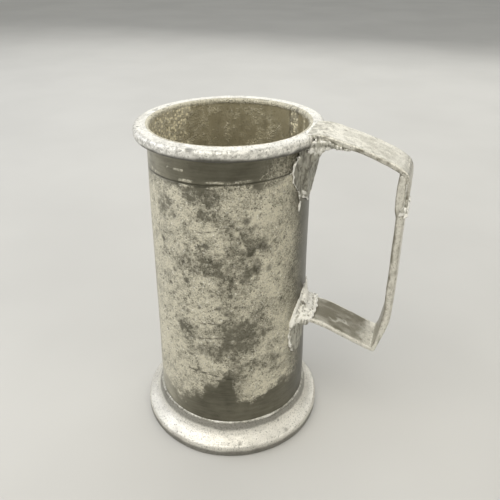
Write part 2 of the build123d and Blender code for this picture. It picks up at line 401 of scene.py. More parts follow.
def moved_out(obj, relief):
    """Turn the faces outwards, move each point along its normal by relief, and keep relief's values."""
    mesh = obj.data
    work = bmesh.new()
    work.from_mesh(mesh)
    bmesh.ops.recalc_face_normals(work, faces=work.faces)
    work.to_mesh(mesh)
    work.free()
    points = np.empty(3 * len(mesh.vertices))
    normals = np.empty(3 * len(mesh.vertices))
    mesh.vertices.foreach_get("co", points)
    mesh.vertex_normals.foreach_get("vector", normals)
    points, normals = points.reshape(-1, 3), normals.reshape(-1, 3)
    shift, values = relief(points, normals)
    points = settled(points + normals * shift[:, None])
    mesh.vertices.foreach_set("co", points.ravel())
    keep_values(mesh, values)
    mesh.update()
    return obj


def ball():
    """Points and faces of a ball of radius 1."""
    work = bmesh.new()
    bmesh.ops.create_icosphere(work, subdivisions=2, radius=1)
    points = np.array([vertex.co for vertex in work.verts])
    faces = np.array([[vertex.index for vertex in face.verts] for face in work.faces])
    work.free()
    return points, faces


def links_of(chains):
    """Each pair of neighbouring places in chains of (x, y, z, radius) places in millimetres."""
    for chain in chains:
        chain = np.array(chain, dtype=float)
        yield from zip(chain, chain[1:])


def beads(chains):
    """Points and faces of close balls along the chains."""
    round_points, round_faces = ball()
    points, faces = [], []
    for first, second in links_of(chains):
        away = np.linalg.norm(second[:3] - first[:3])
        count = max(1, round(away / (0.4 * min(first[3], second[3]))))
        for k in range(count + 1):
            place = first + (second - first) * k / count
            faces.append(round_faces + len(points) * len(round_points))
            points.append((place[:3] + round_points * place[3]) * MM)
    return np.vstack(points), np.vstack(faces)


def melted(name, node, chains, rounds, relief):
    """Solder that starts as the solid of a CAD node with beads on it, run together and roughened."""
    sizes, _ = settings()
    points, faces = beads(chains)
    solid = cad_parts[node].data
    solid_points = [tuple(vertex.co) for vertex in solid.vertices]
    solid_faces = [[len(points) + k for k in polygon.vertices] for polygon in solid.polygons]
    obj = shown(name, np.vstack([points, solid_points]), faces.tolist() + solid_faces)
    remesh = obj.modifiers.new("cells", "REMESH")
    remesh.mode = "VOXEL"
    remesh.voxel_size = sizes.solder_step
    smooth = obj.modifiers.new("run", "SMOOTH")
    smooth.factor = 0.5
    smooth.iterations = rounds
    made = bpy.data.meshes.new_from_object(obj.evaluated_get(bpy.context.evaluated_depsgraph_get()))
    obj.modifiers.clear()
    obj.data = smoothed(made)
    made.name = name
    return moved_out(obj, relief)


# Materials

# Options that nodes are given again and again.
SMOOTH = {"interpolation_type": "SMOOTHSTEP"}
TIMES = {"operation": "MULTIPLY"}
MINUS = {"operation": "SUBTRACT"}
LARGER = {"operation": "MAXIMUM"}


def per_metre(millimetres):
    """Texture scale for a pattern whose marks are that far apart."""
    return 1 / (millimetres * MM)


def feed(tree, node, inputs):
    """Set or link each input of a node, given by name or in order."""
    for key, value in inputs.items() if isinstance(inputs, dict) else enumerate(inputs):
        if isinstance(value, bpy.types.NodeSocket):
            tree.links.new(value, node.inputs[key])
        else:
            node.inputs[key].default_value = value


def add(tree, kind, inputs=(), out=0, **options):
    """Add a shader node with its options and inputs, and give one of its outputs."""
    made = tree.nodes.new("ShaderNode" + kind)
    for key, value in options.items():
        setattr(made, key, value)
    feed(tree, made, inputs)
    return made.outputs[out]


def rgba(value):
    """Colour of a property with full opacity."""
    return (*value, 1.0)


def fresh(name):
    """New material, what adds its nodes, what feeds its shader, and the object's own coordinates."""
    material = bpy.data.materials.new(name)
    material.use_nodes = True
    tree = material.node_tree
    node = partial(add, tree)
    return material, node, partial(feed, tree, tree.nodes["Principled BSDF"]), node("TexCoord", out="Object")


# The scribed line's height in millimetres, and the plane that leans 1.8 degrees towards the handle.

LINE_HEIGHT = 174.55
LINE_PLANE = (-0.0315, 0.0, 1.0)


def etched_cast_pewter(name):
    """Cast pewter, turned smooth and later etched by damp: dull pale skin on darker streaked metal."""
    _, colours = settings()
    material, node, finish, place = fresh(name)
    etched = node("Attribute", out="Fac", attribute_name="etched")
    dirt = node("Attribute", out="Fac", attribute_name="dirt")
    inside = node("Attribute", out="Fac", attribute_name="inside")
    outside = node("Math", (1.0, node("Math", (inside, 0.6), **TIMES)), **MINUS)
    broken, grain, slow, glint, sparse, blots, waves = (
        node("TexNoise", {"Vector": place, "Scale": per_metre(apart), "Detail": detail, "Roughness": rough})
        for apart, detail, rough in (
            (2.2, 4.0, 0.7),  # the ragged break-up of the etched skin
            (0.8, 2.0, 0.55),  # its grain
            (14.0, 4.0, 0.55),  # slow wear of the metal
            (1.3, 3.0, 0.6),  # glints of bright metal
            (6.0, 2.0, 0.55),  # places where pits are sparse
            (1.5, 3.0, 0.6),  # blots of scale inside
            (9.0, 2.0, 0.55),  # waves left by the casting
        )
    )
    broken_edge = node("Math", (broken, -0.5))
    ragged = node("Math", (broken_edge, 1.9), **TIMES)
    ragged = node("Math", (ragged, node("Math", (node("Math", (grain, -0.5)), 1.7), **TIMES)))
    ragged = node("Math", (ragged, node("MapRange", (etched, 0.0, 0.35), **SMOOTH)), **TIMES)
    mask = node("Clamp", (node("Math", (etched, ragged)),))
    # Turning left level streaks 1.4 mm tall, and the smooth metal on the side away from the handle is painted
    # paler, painted light.
    level_place = node("VectorMath", (place, (0.12, 0.12, 1.0)), **TIMES)
    streaks = {"Vector": level_place, "Scale": per_metre(1.4), "Detail": 3.0, "Roughness": 0.6}
    streaks = node("TexNoise", streaks)
    slow_wear = node("MapRange", (slow, 0.3, 0.75, 0.0, 0.4), **SMOOTH)
    worn = node("Math", (slow_wear, node("MapRange", (streaks, 0.35, 0.7, 0.0, 0.22), **SMOOTH)))
    reach = node("SeparateXYZ", (place,), out="X")
    painted_light_left = node("MapRange", (reach, -8 * MM, -42 * MM, 0.0, 0.8), **SMOOTH)
    smooth_tone = node("MixRGB", (painted_light_left, rgba(colours.smooth_wall), rgba(colours.etched_wall)))
    smooth_tone = node("MixRGB", (worn, smooth_tone, rgba(colours.wall_dirt_and_shade)))
    smooth_tone = node("MixRGB", (inside, smooth_tone, rgba(colours.inside_wall)))
    tone = node("MixRGB", (node("Math", (mask, outside), **TIMES), smooth_tone, rgba(colours.etched_wall)))
    # Pale flecks of about 1 mm on the skin are painted glints of bright metal.
    glint = node("MapRange", (glint, 0.6, 0.68, 0.0, 0.7), **SMOOTH)
    tone = node("MixRGB", (node("Math", (glint, mask), **TIMES), tone, rgba(colours.worn_lip)))
    # Fine pits about 1.6 mm apart, and the skin's ragged flecks, hold black oxide.
    speck = node("TexVoronoi", {"Vector": place, "Scale": per_metre(1.6)}, out="Distance")
    speck = node("MapRange", (speck, 0.3, 0.1, 0.0, 0.85), **SMOOTH)
    fleck = node("MapRange", (broken, 0.6, 0.66, 0.0, 0.75), **SMOOTH)
    sparse = node("MapRange", (sparse, 0.36, 0.58), **SMOOTH)
    dark = node("Math", (node("Math", (speck, fleck), **LARGER), sparse), **TIMES)
    dark = node("Math", (dark, node("MapRange", (etched, 0.15, 0.4, 0.3, 1.0), **SMOOTH)), **TIMES)
    # The point attribute brings dirt and painted shade into the dark.
    dark = node("Math", (dark, dirt), **LARGER)
    # The scribed line is dark, 0.5 to 1.3 mm wide and a little broken.
    level = node("VectorMath", (place, LINE_PLANE), out="Value", operation="DOT_PRODUCT")
    level = node("Math", (level, node("Math", (broken_edge, 0.6 * MM), **TIMES)))
    away = node("Math", (node("Math", (level, LINE_HEIGHT * MM), **MINUS),), operation="ABSOLUTE")
    line = node("MapRange", (away, 0.65 * MM, 0.25 * MM), **SMOOTH)
    line = node("Math", (line, inside), **MINUS)
    line = node("Math", (line, node("MapRange", (slow, 0.3, 0.5, 0.35, 0.7), **SMOOTH)), **TIMES)
    dark = node("Math", (dark, line), **LARGER)
    tone = node("MixRGB", (dark, tone, rgba(colours.wall_dirt_and_shade)))
    # Inside, yellow scale lies in blots and in pale specks about 2 mm apart, the specks partly crystals of
    # scale and partly painted glints.
    blots = node("Math", (node("MapRange", (blots, 0.52, 0.58), **SMOOTH), 0.25), **TIMES)
    crystal_and_glint = node("TexVoronoi", {"Vector": place, "Scale": per_metre(2.0)}, out="Distance")
    crystal_and_glint = node("Math", (crystal_and_glint, node("MapRange", (etched, 0.1, 0.6, 0.05, 0.4), **SMOOTH)), **MINUS)
    lime_and_glints = node("Math", (blots, node("MapRange", (crystal_and_glint, 0.05, -0.05), **SMOOTH)), **LARGER)
    scaled = node("MapRange", (etched, 0.12, 0.6), **SMOOTH)
    lime_and_glints = node("Math", (node("Math", (lime_and_glints, inside), **TIMES), scaled), **TIMES)
    metal = node("MapRange", (mask, 0.0, 1.0, 0.94, 0.58), **SMOOTH)
    metal = node("Math", (metal, node("Math", (inside, 0.35), **TIMES)), **MINUS)
    # The skin stands 0.3 mm rough, the wall waves by 0.5 mm, and dark pits go 0.2 mm deep.
    crust = node("Math", (node("Math", (grain, broken)), mask), **TIMES)
    skin = node("Bump", {"Height": crust, "Distance": 0.3 * MM, "Strength": 0.9})
    skin = node("Bump", {"Height": waves, "Distance": 0.5 * MM, "Strength": 0.3, "Normal": skin})
    skin = node("Bump", {"Height": streaks, "Distance": 0.05 * MM, "Strength": 0.3, "Normal": skin})
    sunk = node("Math", (dark, -1.0), **TIMES)
    finish(
        {
            "Base Color": node("MixRGB", (lime_and_glints, tone, rgba(colours.lime_and_glints))),
            "Roughness": node("MapRange", (mask, 0.0, 1.0, 0.34, 0.6), **SMOOTH),
            "Metallic": node("Math", (metal, node("Math", (1.0, lime_and_glints), **MINUS)), **TIMES),
            "Normal": node("Bump", {"Height": sunk, "Distance": 0.2 * MM, "Strength": 0.6, "Normal": skin}),
        }
    )
    return material


def handled_pewter(name, bright, dirt, shine, metal):
    """Cast pewter rubbed bright by hands: soft gloss, grain with black specks, brown in the hollows."""
    material, node, finish, place = fresh(name)
    relief = node("Attribute", out="Fac", attribute_name="relief")
    shade = node("Attribute", out="Fac", attribute_name="dirt")
    bright, dirt = rgba(bright), rgba(dirt)
    # Clouds of tarnish are 9 mm across, cast grain is 0.9 mm, and black specks are about 1.9 mm apart.
    clouds, grain = (
        node("TexNoise", {"Vector": place, "Scale": per_metre(apart), "Detail": detail, "Roughness": rough})
        for apart, detail, rough in ((9.0, 4.0, 0.6), (0.9, 3.0, 0.65))
    )
    speck = node("TexVoronoi", {"Vector": place, "Scale": per_metre(1.9)}, out="Distance")
    speck = node("MapRange", (speck, 0.24, 0.1), **SMOOTH)
    hollow = node("Math", (relief, node("Math", (grain, 0.5), **MINUS)))
    hollow = node("MapRange", (hollow, 0.05, -0.55), **SMOOTH)
    tone = node("MixRGB", (node("MapRange", (clouds, 0.45, 0.8, 0.0, 0.12), **SMOOTH), bright, dirt))
    tone = node("MixRGB", (node("Math", (hollow, 0.6), **TIMES), tone, dirt))
    tone = node("MixRGB", (node("MapRange", (grain, 0.5, 0.63, 0.0, 0.38), **SMOOTH), tone, dirt))
    # The attribute read as shade brings dirt and painted shade, mixed in as the dark colour.
    tone = node("MixRGB", (shade, tone, dirt))
    rough = node("MapRange", (clouds, 0.35, 0.75, shine, shine + 0.16), **SMOOTH)
    skin = node("Bump", {"Height": grain, "Distance": 0.4 * MM, "Strength": 0.9})
    skin = node("Bump", {"Height": clouds, "Distance": 0.6 * MM, "Strength": 0.35, "Normal": skin})
    sunk = node("Math", (speck, -1.0), **TIMES)
    finish(
        {
            "Base Color": node("MixRGB", (node("Math", (speck, 0.55), **TIMES), tone, dirt)),
            "Roughness": node("Math", (rough, node("Math", (shade, 0.1), **TIMES))),
            "Metallic": metal,
            "Normal": node("Bump", {"Height": sunk, "Distance": 0.15 * MM, "Strength": 0.5, "Normal": skin}),
        }
    )
    return material


def crusted_solder(name):
    """Tin solder put on with an iron: bright crusts with flux and dirt between them."""
    _, colours = settings()
    material, node, finish, place = fresh(name)
    # The crest attribute holds the crusts' height, and on the joints a step by height of painted light and
    # shade.
    crest = node("Attribute", out="Fac", attribute_name="crest")
    # The crusts' skin is wrinkled at 0.9 mm, and runs 1.6 mm wide are drawn out downwards.
    wrinkle = node("TexNoise", {"Vector": place, "Scale": per_metre(0.9), "Detail": 4.0, "Roughness": 0.65})
    drawn = node("VectorMath", (place, (1.0, 1.0, 0.25)), **TIMES)
    runs = node("TexNoise", {"Vector": drawn, "Scale": per_metre(1.6), "Detail": 3.0, "Roughness": 0.6})
    high = node("Math", (crest, node("Math", (node("Math", (wrinkle, -0.5)), 1.2), **TIMES)))
    high = node("MapRange", (high, 0.0, 0.8), **SMOOTH)
    dirty = node("MapRange", (runs, 0.4, 0.65), **SMOOTH)
    low_tone = node("MixRGB", (dirty, rgba(colours.smeared_solder), rgba(colours.solder_dirt)))
    skin = node("Bump", {"Height": wrinkle, "Distance": 0.5 * MM, "Strength": 0.9})
    finish(
        {
            "Base Color": node("MixRGB", (high, low_tone, rgba(colours.solder))),
            "Roughness": node("MapRange", (high, 0.0, 1.0, 0.5, 0.3), **SMOOTH),
            "Metallic": node("MapRange", (high, 0.0, 1.0, 0.85, 0.25), **SMOOTH),
            "Normal": node("Bump", {"Height": runs, "Distance": 0.35 * MM, "Strength": 0.4, "Normal": skin}),
        }
    )
    return material


def matt_board(name):
    """Board with matt paint: no gloss, and a tone that wanders a little."""
    _, colours = settings()
    material, node, finish, place = fresh(name)
    # The tone drifts over 260 mm, and the paint's tooth is 1.2 mm, coarser than real so that it shows.
    drift, tooth = (
        node("TexNoise", {"Vector": place, "Scale": per_metre(apart), "Detail": detail, "Roughness": 0.55})
        for apart, detail in ((260.0, 3.0), (1.2, 2.0))
    )
    darker = tuple(0.93 * c for c in colours.floor)
    drift = node("MapRange", (drift, 0.3, 0.7), **SMOOTH)
    finish(
        {
            "Base Color": node("MixRGB", (drift, rgba(colours.floor), rgba(darker))),
            "Roughness": 0.85,
            "Normal": node("Bump", {"Height": tooth, "Distance": 0.05 * MM, "Strength": 0.3}),
        }
    )
    return material


def placed(obj, node, material):
    """Give the piece its material, let it stand for its CAD node and ride on the body."""
    obj.data.materials.clear()
    obj.data.materials.append(material)
    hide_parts(node)
    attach(obj, "root")


# Dark places of the photographed measure, as azimuth from the handle in degrees and height in
# millimetres on the drum, then half width and half height in millimetres. Here and below, the side
# that the photograph doesn't show (azimuths from 0 to 180) has marks of the same kind.

DARK_PATCHES = [
    (-86, 169, 9, 6),
    (-84, 160, 6, 6),
    (-67, 150, 8, 9),
    (-63, 139, 8, 6),
    (-81, 129, 11, 6),
    (-68, 127, 8, 7),
    (-66, 85, 13, 10),
    (-82, 74, 12, 5),
    (-103, 85, 6, 5),
    (-71, 58, 4, 11),
    (-68, 47, 6, 10),
    (-118, 160, 6, 7),
    (-52, 137, 5, 5),
    (-46, 62, 9, 5),
    (40, 120, 14, 18),
    (80, 90, 18, 12),
    (120, 140, 14, 22),
    (165, 80, 18, 16),
    (150, 150, 10, 9),
]
# The same with one half size.
DARK_SPOTS = [
    (-60, 155, 2.3),
    (-54, 152, 2.6),
    (-50, 140, 2.8),
    (-58, 138, 3.0),
    (-53, 128, 3.4),
    (-44, 126, 2.4),
    (-103, 118, 2.1),
    (-122, 138, 1.6),
    (-87, 141, 1.8),
    (-104, 129, 1.5),
    (-84, 132, 1.4),
    (-70, 121, 1.7),
    (-63, 120, 1.6),
    (-93, 102, 1.2),
    (-79, 103, 1.2),
    (-74, 99, 1.3),
    (-71, 111, 1.6),
    (-112, 122, 1.3),
    (-117, 112, 1.4),
    (-106, 98, 1.2),
    (-96, 88, 1.5),
    (-110, 140, 1.3),
    (-101, 108, 1.1),
    (35, 150, 2.6),
    (60, 60, 2.4),
    (100, 110, 3.0),
    (140, 70, 2.2),
    (175, 130, 2.6),
]
# Lower edge of the etched skin, as azimuth in degrees and height in millimetres.
ETCHED_EDGE = [
    (-180, 36),
    (-138, 34.6),
    (-121, 32.1),
    (-113, 31.9),
    (-99, 39.6),
    (-89, 44.2),
    (-81, 49.5),
    (-75, 54.6),
    (-73, 63.6),
    (-70, 45.4),
    (-67, 39.0),
    (-58, 35.4),
    (-48, 35.4),
    (-43, 40.1),
    (-37, 42.5),
    (-27, 42.4),
    (-10, 44.0),
    (30, 38),
    (75, 33),
    (130, 41),
    (180, 36),
]
# Lines from one (azimuth, height) place to another, with their half width in millimetres: scratches,
# bright marks, and pale specks as places only.
SCRATCHES = [
    ((-102, 80), (-75, 83), 0.9),
    ((-97, 57), (-69, 53), 1.1),
    ((-104, 57), (-90, 55), 0.9),
    ((-94, 148), (-80, 150), 0.7),
    ((-115, 134), (-111, 128), 0.8),
    ((-124, 140), (-121, 132), 0.8),
    ((-95, 91), (-76, 93), 0.7),
    ((60, 130), (85, 127), 0.9),
    ((110, 60), (138, 66), 0.9),
]
BRIGHT_MARKS = [
    ((-51, 176.5), (-49, 178.5), 0.45),
    ((-47, 178.8), (-45.5, 180.5), 0.45),
    ((-113, 181.0), (-101, 180.5), 0.35),
    ((-139, 177), (-124, 175), 0.5),
    ((-49, 172), (-47.5, 174.5), 0.45),
    ((-82, 173), (-78, 172.6), 0.8),
    ((-63, 172), (-57, 173), 0.8),
]
INSIDE_SPECKS = [(170, 186), (160, 189), (152, 191), (178, 183), (163, 181), (186, 188)]


def outside_skin(points, azimuth, height, small):
    """Move in metres, etched share, and dirt with painted shade of the drum's outside."""
    sizes, _ = settings()
    line_at = LINE_HEIGHT - LINE_PLANE[0] * points[:, 0] / MM
    turn = azimuth % 360
    # The etched skin covers most of the wall, mottled less on the handle's side and at the far left.
    calm = most(window(azimuth, -36, -22, 60, 90), 1 - ramp(np.abs(turn - 190), 20, 34))
    mottle = 0.3 * lumps(points, 4.5, 8, 3) + 0.2 * lumps(points, 1.5, 9, 2)
    cover = 0.76 + 0.22 * lumps(points, 16.0, 3, 3) + mottle * (1 - 0.65 * calm)
    # Dark patches break it up.
    blot_edge = 0.4 * lumps(points, 6.0, 5, 4)
    blots = np.zeros(len(points))
    for place, level, wide, tall in DARK_PATCHES:
        blot = on_wall(azimuth, height, place, level, 1.55 * wide, 1.55 * tall, blot_edge)
        blots = np.maximum(blots, blot) + 0.25 * np.minimum(blots, blot)
    blots = np.minimum(blots, 1.1) * np.clip(0.82 + 0.6 * lumps(points, 2.6, 15, 3), 0, 1)
    cover = np.maximum(cover - 0.56 * blots, 0.1)
    # It ends in a ragged hem low down, and above the scribed line the metal is nearly bare.
    hem = height - np.interp(azimuth, *zip(*ETCHED_EDGE)) + 4.5 * lumps(points, 6.0, 21, 3)
    hem = hem + 3.5 * lumps(points, 2.8, 22, 2)
    bare = ramp(height - line_at + 3.0 * lumps(points, 7.0, 4, 3), -6, 1)
    bare = bare * (1 - 0.42 * window(azimuth, -56, -38, -20, -10))
    cover = cover * ramp(hem, -3.5, 4.0) * (1 - bare)
    # The wall on the handle's side is painted darker with less of the pale skin, painted shade, and a band at
    # the far left edge has less of the skin and is a little darker.
    shaded = ramp(azimuth + 5 * lumps(points, 9.0, 16, 3), -29, -5) * (1 - ramp(azimuth, 60, 90))
    far_left_band = 1 - ramp(np.abs(turn - 204), 4, 20)
    etched = np.clip(cover * (1 - 0.93 * shaded) * (1 - 0.6 * far_left_band), 0, 1)
    # The front of the neck above the scribed line is painted darker, painted shade under the lip.
    neck = ramp(height - line_at, 0.5, 3.0) * (1 - ramp(np.abs(azimuth + 70), 10, 36))
    dirt = most(0.45 * shaded, 0.2 * blots, 0.16 * far_left_band * (height < line_at), 0.28 * neck)
    spot_edge = 0.5 * lumps(points, 3.0, 11, 3)
    for place, level, size in DARK_SPOTS:
        spot = on_wall(azimuth, height, place, level, 1.1 * size, 1.1 * size, spot_edge)
        dirt = np.maximum(dirt, 0.64 * spot)
    # Scratches, pits and the scribed line are cut in, and bright metal shows beside the line.
    grain = lumps(points, 3.0, 77, 2)
    cut = most(*(scratch(azimuth, height, *mark, grain) for mark in SCRATCHES))
    bright = most(*(scratch(azimuth, height, *mark, grain) for mark in BRIGHT_MARKS))
    pits = dimples(points, 4.2, 1.5, 0.75, 40) ** 0.7 * ramp(etched, 0.1, 0.6)
    from_line = np.abs(height - line_at)
    line = np.clip(1 - from_line / 0.85, 0, 1) * (0.8 + 0.3 * lumps(points, 8.0, 12, 2))
    beside_line = np.clip(1 - np.abs(from_line - 1.4) / 0.8, 0, 1)
    beside_line = beside_line * ramp(lumps(points, 7.0, 14, 3), -0.1, 0.4)
    beside_line = beside_line * (0.55 + 0.45 * window(azimuth, -122, -108, -74, -60))
    shift = sizes.wall_wave * lumps(points, 38.0, 2, 2)
    shift = shift - sizes.etch_depth * etched * (1 + 0.8 * lumps(points, 1.6, 6, 2))
    shift = shift - sizes.pit_depth * (0.8 * pits + 0.4 * small * etched) - 0.35 * MM * cut - 0.3 * MM * dirt
    shift = shift - sizes.line_depth * line
    dirt = most(dirt, 0.4 * line, 0.8 * cut, 0.55 * ramp(pits, 0.35, 0.9))
    return shift, most(etched, bright, beside_line), dirt


def inside_skin(points, azimuth, height, small):
    """Move in metres, share of scale with painted glints, and dirt of the drum's inside, which keeps its
    turned skin.
    """
    facing = (azimuth - 110) % 360
    left, right = ramp(facing, 18, 60) * (facing < 120), ramp(360 - facing, 30, 65) * (facing > 220)
    # Pale scale runs down the wall on the right, and lies in flecks near the lip on the left, flecks that are
    # partly painted glints.
    runs = lumps(points * np.array((1.0, 1.0, 0.12)), 3.2, 90, 2)
    scale = ramp(runs + 0.5 * lumps(points, 3.0, 91, 3), 0.1, 0.8) * (0.15 + 0.42 * right)
    scale_and_glint_flecks = 0.35 + 0.6 * ramp(lumps(points, 2.4, 92, 3), -0.2, 0.4)
    scale = np.maximum(scale, scale_and_glint_flecks * left * ramp(height + 6 * lumps(points, 9.0, 93, 2), 158, 172))
    speck_edge = 0.4 * lumps(points, 6.0, 5, 4)
    for place, level in INSIDE_SPECKS:
        scale = np.maximum(scale, scale_and_glint_flecks * on_wall(azimuth, height, place, level, 9, 7, speck_edge))
    scale = 0.12 + 0.15 * left + 0.2 * lumps(points, 4.0, 94, 4) + 0.9 * scale
    brown = ramp(lumps(points * np.array((1.0, 1.0, 0.2)), 3.6, 97, 3), 0.15, 0.6) * (0.15 + 0.35 * right)
    shift = 0.12 * MM * lumps(points, 24.0, 95, 3) + 0.12 * MM * scale - 0.1 * MM * small
    return shift, most(scale, 0.85 * ramp(height, *MOUTH_FADE)), most(0.4 * small, brown)


def wall_relief(points, normals):
    """Relief of the drum, whose outside is etched and whose inside is scaled."""
    azimuth, radius, height = around(points)
    in_foot = height < FOOT_TOP + 0.05
    outside = (radius > BORE_RADIUS + 0.9) & ~in_foot & (height < LIP_BOTTOM + 0.4)
    small = dimples(points, 2.4, 0.85, 0.6, 60)
    outer, inner = (skin(points, azimuth, height, small) for skin in (outside_skin, inside_skin))
    shift, etched, dirt = (np.where(outside, *pair) for pair in zip(outer, inner))
    hidden = in_foot | ((radius > LIP_SEAT_RADIUS - 0.2) & (height > LIP_BOTTOM - 0.1))
    inside = (1.0 - outside) * (1 - ramp(height, *MOUTH_FADE))
    return np.where(hidden, 0, shift), {"etched": etched, "dirt": dirt, "inside": inside}


def rubbed_relief(seed, knock_share, dirt_and_shade_of):
    """Relief of a handled casting: slow waves, knocks and fine grain, with dirt and painted shade by place.
    """

    def relief(points, normals):
        sizes, _ = settings()
        waves = 0.14 * lumps(points, 17.0, seed, 3) + 0.05 * lumps(points, 2.2, seed + 1, 2)
        knocks = dimples(points, 9.0, 2.6, knock_share, seed + 2)
        nicks = dimples(points, 4.0, 1.0, knock_share, seed + 9)
        shift = waves * MM - sizes.knock_depth * (0.55 * knocks + 0.45 * nicks)
        tone = np.clip(1.2 * waves - 0.45 * knocks - 0.6 * nicks, -1, 1)
        return shift, {"relief": tone, "dirt": dirt_and_shade_of(points)}

    return relief


def drum_profile():
    """Closed outline of the drum's wall, as (radius, height) in millimetres."""
    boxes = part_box("drum"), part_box("rim_ring"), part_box("floor_disc"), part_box("foot_ring")
    (low, high), (lip_low, _), (_, floor_high), (_, foot_high) = boxes
    top = high.z / MM
    return [
        (high.x / MM, low.z / MM),
        (high.x / MM, foot_high.z / MM),
        (LIP_SEAT_RADIUS, lip_low.z / MM),
        (LIP_SEAT_RADIUS, top),
        *arc((BORE_RADIUS + MOUTH_ROUND, top - MOUTH_ROUND), MOUTH_ROUND, 90, 180, 5),
        (BORE_RADIUS, floor_high.z / MM),
        (floor_high.x / MM, floor_high.z / MM),
        (floor_high.x / MM, low.z / MM),
    ]


class TurnDrum(bpy.types.Operator):
    """Build the drum's wall with its etched skin, pits and scribed line"""

    bl_idname = "measure.turn_drum"
    bl_label = "Drum"

    def execute(self, context):
        sizes, _ = settings()
        obj = turned("drum_wall", drum_profile(), sizes.wall_step, wall_relief)
        placed(obj, "drum", etched_cast_pewter("etched_cast_pewter"))
        return {"FINISHED"}


class TurnLip(bpy.types.Operator):
    """Build the thick lip, rubbed bright and knocked"""

    bl_idname = "measure.turn_lip"
    bl_label = "Lip"

    def execute(self, context):
        sizes, colours = settings()
        low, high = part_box("rim_ring")
        bottom, top, outer = low.z / MM, high.z / MM, high.x / MM
        profile = [
            (LIP_SEAT_RADIUS, bottom),
            *arc((outer - LIP_LOWER_ROUND, bottom + LIP_LOWER_ROUND), LIP_LOWER_ROUND, -90, 0),
            *arc((outer - LIP_UPPER_ROUND, top - LIP_UPPER_ROUND), LIP_UPPER_ROUND, 0, 90),
            (LIP_SEAT_RADIUS, top),
        ]

        def dirt_and_shade_of(points):
            _, radius, height = around(points)
            # The lower part of the lip's outside is painted darker, painted shade; its outer side and grain
            # get dark specks.
            low_side = 1 - ramp(height + 0.8 * lumps(points, 6.0, 34, 3), bottom + 1.3, bottom + 3.4)
            side = ramp(radius, outer - 2.6, outer - 0.8) * ramp(lumps(points, 1.5, 36, 3), 0.05, 0.4)
            grain = ramp(lumps(points, 1.2, 37, 3), 0.1, 0.5)
            return most(0.9 * low_side, 0.4 * side, 0.18 * grain)

        obj = turned("lip", profile, sizes.fine_step, rubbed_relief(30, 0.3, dirt_and_shade_of))
        metal = handled_pewter("pewter_lip_rubbed", colours.worn_lip, colours.wall_dirt_and_shade, 0.38, 0.5)
        placed(obj, "rim_ring", metal)
        return {"FINISHED"}


class TurnFoot(bpy.types.Operator):
    """Build the flared foot with its hollow underside"""

    bl_idname = "measure.turn_foot"
    bl_label = "Foot"

    def execute(self, context):
        sizes, colours = settings()
        _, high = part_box("foot_ring")
        outer, top = high.x / MM, high.z / MM
        # A rounded standing ring and edge, the cove up to the drum, its socket, and the hollow below.
        profile = [
            *arc((outer - 1.6, 1.6), 1.6, -90, 0),
            *arc((outer - 2.2, 6.0), 2.2, 0, 35, 4),
            *arc_between((outer - 0.9, 8.0), (outer - 8.7, top), 2.0),
            (SOCKET_RADIUS, top),
            (SOCKET_RADIUS, SOCKET_FLOOR),
            (SHOULDER_RADIUS, SOCKET_FLOOR),
            *arc_between((outer - 13.4, 10.9), (outer - 5.0, 0.0), 2.6),
        ]

        def dirt_and_shade_of(points):
            _, radius, height = around(points)
            edge = 0.9 * lumps(points, 9.0, 53, 3)
            # The cove by the seam is darker, and the foot's lower side is painted darker, painted shade.
            under_seam = ramp(height + edge, 14.0, 15.6) * (radius < 52.5)
            side = (1 - ramp(height + 0.8 * edge, 3.4, 6.0)) * (radius > 55)
            return np.maximum(0.6 * under_seam, 0.72 * side)

        obj = turned("foot", profile, sizes.fine_step, rubbed_relief(50, 0.32, dirt_and_shade_of))
        metal = handled_pewter("pewter_foot_rubbed", colours.foot_flare, colours.wall_dirt_and_shade, 0.33, 0.68)
        placed(obj, "foot_ring", metal)
        return {"FINISHED"}


def arc_between(start, end, bow):
    """Points of an arc from start to end that bows to the left by the given height."""
    start, end = np.array(start), np.array(end)
    chord = end - start
    span = hypot(*chord)
    left = np.array((-chord[1], chord[0])) / span
    shares = np.linspace(0, 1, 13)
    return [tuple(start + chord * t + left * bow * 4 * t * (1 - t)) for t in shares]


class LayFloor(bpy.types.Operator):
    """Build the measure's bottom, turned and slightly dished"""

    bl_idname = "measure.lay_floor"
    bl_label = "Floor"

    def execute(self, context):
        sizes, colours = settings()
        low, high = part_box("floor_disc")
        bottom, top, outer = low.z / MM, high.z / MM, high.x / MM
        profile = [(0.3, bottom), (outer, bottom), (outer, top), (0.3, top)]

        def relief(points, normals):
            _, radius, _ = around(points)
            rings = 0.05 * np.sin(radius * 2 * pi / 2.4) + 0.06 * lumps(points, 6.0, 71, 3)
            dish = -0.5 * (1 - np.minimum(radius / 42, 1) ** 2)
            upper = normals[:, 2] > 0.5
            shift = (rings + dish * upper) * MM * (radius < 42)
            return shift, {"relief": rings * 4, "dirt": np.full(len(points), 0.6)}

        obj = turned("bottom_plate", profile, sizes.wall_step, relief)
        metal = handled_pewter("pewter_floor_tarnished", colours.inside_wall, colours.wall_dirt_and_shade, 0.45, 0.9)
        placed(obj, "floor_disc", metal)
        return {"FINISHED"}


# Distance between neighbouring points on the thin bead of the foot's seam, in metres.
BEAD_STEP = 0.4 * MM


